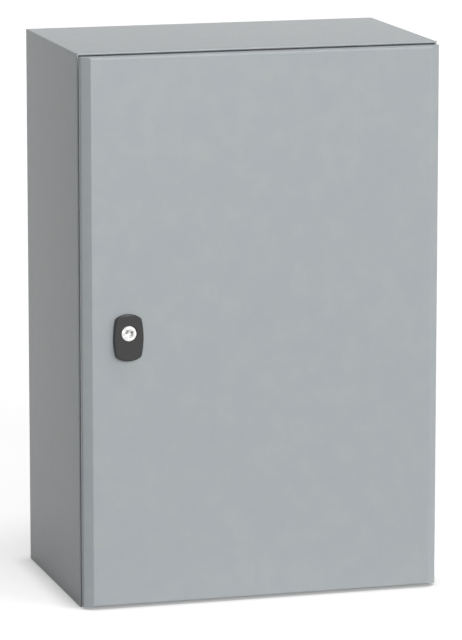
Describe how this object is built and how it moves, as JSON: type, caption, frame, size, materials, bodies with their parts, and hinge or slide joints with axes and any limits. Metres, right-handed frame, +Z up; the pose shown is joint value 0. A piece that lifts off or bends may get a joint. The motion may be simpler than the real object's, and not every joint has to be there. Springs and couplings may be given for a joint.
{
  "type": "steel wall enclosure",
  "caption": "Wall-mounted steel cabinet with a bevelled right-hung door on concealed hinges, a quarter-turn lock, a folded rain channel and a mounting plate inside.",
  "frame": {"origin": "centre of the four wall fixing holes, on the rear face of the body", "axes": "+X to the right as seen from the front, +Y back into the wall, +Z up; the door faces -Y"},
  "size_m": [0.4, 0.2555, 0.6],
  "materials": {
    "grey_powder_coat": "fine textured semi-matt light grey powder coat",
    "galvanised_sheet": "galvanised, dull spangled",
    "zinc_plated_steel": "bright zinc plating",
    "die_cast_zinc": "satin die-cast zinc",
    "black_plastic": "fine eroded black polyamide",
    "black_rubber": "matt black rubber",
    "seal_foam": "dark foamed polyurethane bead with a satin skin",
    "copper_plated_steel": "copper-flashed weld stud",
    "brass_nut": "turned brass",
    "white_nylon": "natural nylon"
  },
  "bodies": {
    "body": {"body_shell": "grey_powder_coat", "mounting_plate": "galvanised_sheet", "plate_studs": "zinc_plated_steel", "plate_washers": "zinc_plated_steel", "plate_nuts": "zinc_plated_steel", "gland_plate": "grey_powder_coat", "gland_gasket": "black_rubber", "gland_studs": "zinc_plated_steel", "gland_nuts": "zinc_plated_steel", "body_earth_stud": "copper_plated_steel", "body_earth_nut": "brass_nut", "hinge_bracket_upper": "die_cast_zinc", "hinge_bracket_lower": "die_cast_zinc", "hinge_pads": "black_rubber", "hinge_screws": "zinc_plated_steel"},
    "door": {"door_panel": "grey_powder_coat", "door_seal": "seal_foam", "door_rail_left": "galvanised_sheet", "door_rail_right": "galvanised_sheet", "hinge_leaf_upper": "zinc_plated_steel", "hinge_leaf_lower": "zinc_plated_steel", "hinge_pin_upper": "zinc_plated_steel", "hinge_pin_lower": "zinc_plated_steel", "thrust_washers": "white_nylon", "hinge_clips": "zinc_plated_steel", "lock_housing": "black_plastic", "lock_gasket": "black_rubber", "lock_nut": "zinc_plated_steel", "door_earth_stud": "copper_plated_steel", "door_earth_nut": "brass_nut"},
    "latch": {"lock_insert": "die_cast_zinc", "lock_cam": "zinc_plated_steel", "cam_washer": "zinc_plated_steel", "cam_screw": "zinc_plated_steel"}
  },
  "joints": [
    {"name": "door_swing", "type": "hinge", "parent": "body", "child": "door", "pos_m": [0.187, -0.24, 0], "axis": [0, 0, 1], "range_deg": [0, 120]},
    {"name": "lock_turn", "type": "hinge", "parent": "door", "child": "latch", "pos_m": [-0.15, -0.25, 0.0015], "axis": [0, 1, 0], "range_deg": [0, 90]}
  ]
}
